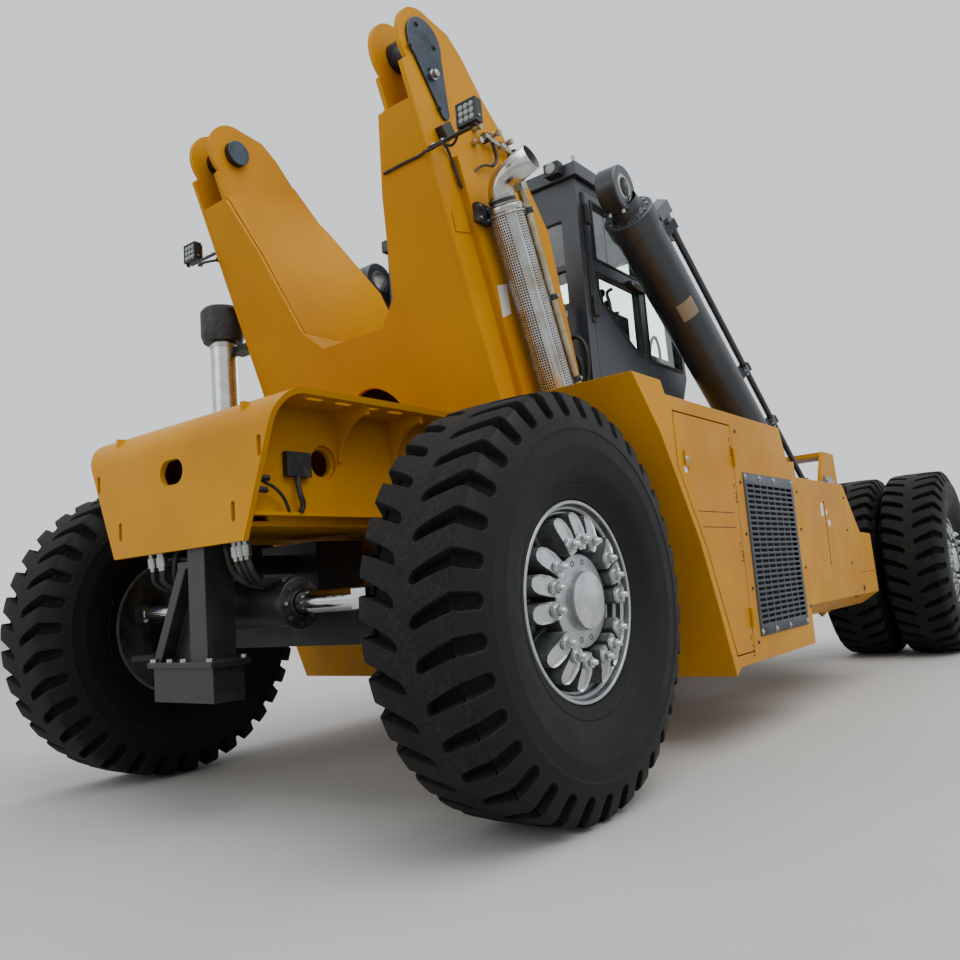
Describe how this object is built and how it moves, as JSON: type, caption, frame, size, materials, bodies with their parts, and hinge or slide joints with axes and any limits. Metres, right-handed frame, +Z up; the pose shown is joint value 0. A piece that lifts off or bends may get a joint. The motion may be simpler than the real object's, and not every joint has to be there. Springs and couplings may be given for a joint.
{
  "type": "reach stacker without boom",
  "caption": "Port container handler on wheels as shipped, with twin boom towers, cab, lift cylinders and steered rear axle, boom and counterweight not fitted.",
  "frame": {"origin": "on the ground, in the middle plane, midway between the rear and front axle", "axes": "+X forward towards the driven front axle, +Y to the left, +Z up"},
  "size_m": [7.65, 3.9, 3.7148],
  "materials": {
    "yellow_paint": "satin",
    "dark_paint": "satin",
    "cab_paint": "satin",
    "tyre": "matt",
    "rim_silver": "metallic",
    "chromed_rod": "polished",
    "cast_iron": "matt",
    "glass": "clear",
    "seat_fabric": "woven",
    "stainless": "polished",
    "bare_steel": "satin",
    "black_plastic": "matt"
  },
  "bodies": {
    "chassis": {"chassis_frame": "yellow_paint", "deck_plate": "yellow_paint", "front_beam": "yellow_paint", "tail_frame": "yellow_paint", "tail_post": "dark_paint", "tower_left": "yellow_paint", "tower_right": "yellow_paint", "tower_back": "yellow_paint", "boom_pins": "bare_steel", "steer_axle": "dark_paint", "drive_axle": "dark_paint", "engine_block": "cast_iron", "side_body_left": "yellow_paint", "side_body_right": "yellow_paint", "grilles": "black_plastic", "side_tank_left": "yellow_paint", "side_tank_right": "yellow_paint", "cab_floor": "cab_paint", "cab_rear_wall": "cab_paint", "cab_sides": "cab_paint", "cab_front": "cab_paint", "cab_roof": "cab_paint", "cab_glass": "glass", "cab_seat": "seat_fabric", "rear_gear": "black_plastic", "exhaust": "stainless", "air_cleaner": "black_plastic", "work_lamps": "black_plastic"},
    "knuckle_left": {"knuckle_left": "dark_paint"},
    "knuckle_right": {"knuckle_right": "dark_paint"},
    "steer_rod": {"steer_rod": "chromed_rod"},
    "rear_wheel_left": {"rear_tyre_left": "tyre", "rear_rim_left": "rim_silver"},
    "rear_wheel_right": {"rear_tyre_right": "tyre", "rear_rim_right": "rim_silver"},
    "front_wheels_left": {"front_tyres_left": "tyre", "front_rims_left": "rim_silver"},
    "front_wheels_right": {"front_tyres_right": "tyre", "front_rims_right": "rim_silver"},
    "side_door_left": {"side_door_left": "yellow_paint"},
    "side_door_right": {"side_door_right": "yellow_paint"},
    "lift_barrel_left": {"lift_barrel_left": "dark_paint"},
    "lift_barrel_right": {"lift_barrel_right": "dark_paint"},
    "lift_rod_left": {"lift_rod_left": "chromed_rod"},
    "lift_rod_right": {"lift_rod_right": "chromed_rod"}
  },
  "joints": [
    {"name": "steer_left", "type": "hinge", "parent": "chassis", "child": "knuckle_left", "pos_m": [-3, 1.18, 0.825], "axis": [0, 0, 1], "range_deg": [-45, 45]},
    {"name": "rear_spin_left", "type": "hinge", "parent": "knuckle_left", "child": "rear_wheel_left", "pos_m": [-3, 1.345, 0.825], "axis": [0, 1, 0], "continuous": true},
    {"name": "front_spin_left", "type": "hinge", "parent": "chassis", "child": "front_wheels_left", "pos_m": [3, 1.415, 0.825], "axis": [0, 1, 0], "continuous": true},
    {"name": "side_door_left", "type": "hinge", "parent": "chassis", "child": "side_door_left", "pos_m": [-1.44, 1.608, 1], "axis": [0, 0, 1], "range_deg": [-110, 0]},
    {"name": "lift_swing_left", "type": "hinge", "parent": "chassis", "child": "lift_barrel_left", "pos_m": [1.45, 1.03, 1.2], "axis": [0, 1, 0], "range_deg": [0, 12]},
    {"name": "lift_extend_left", "type": "slide", "parent": "lift_barrel_left", "child": "lift_rod_left", "axis": [-0.809, 0, 0.5878], "range_m": [0, 1.4]},
    {"name": "steer_right", "type": "hinge", "parent": "chassis", "child": "knuckle_right", "pos_m": [-3, -1.18, 0.825], "axis": [0, 0, 1], "range_deg": [-45, 45]},
    {"name": "rear_spin_right", "type": "hinge", "parent": "knuckle_right", "child": "rear_wheel_right", "pos_m": [-3, -1.345, 0.825], "axis": [0, 1, 0], "continuous": true},
    {"name": "front_spin_right", "type": "hinge", "parent": "chassis", "child": "front_wheels_right", "pos_m": [3, -1.415, 0.825], "axis": [0, 1, 0], "continuous": true},
    {"name": "side_door_right", "type": "hinge", "parent": "chassis", "child": "side_door_right", "pos_m": [-1.44, -1.608, 1], "axis": [0, 0, 1], "range_deg": [0, 110]},
    {"name": "lift_swing_right", "type": "hinge", "parent": "chassis", "child": "lift_barrel_right", "pos_m": [1.45, -1.03, 1.2], "axis": [0, 1, 0], "range_deg": [0, 12]},
    {"name": "lift_extend_right", "type": "slide", "parent": "lift_barrel_right", "child": "lift_rod_right", "axis": [-0.809, 0, 0.5878], "range_m": [0, 1.4]},
    {"name": "steer_rod_slide", "type": "slide", "parent": "chassis", "child": "steer_rod", "axis": [0, 1, 0], "range_m": [-0.24, 0.24]}
  ],
  "couplings": [
    {"joint": "steer_right", "follows": "steer_left", "ratio": 1},
    {"joint": "steer_rod_slide", "follows": "steer_left", "m_per_rad": -0.3}
  ]
}
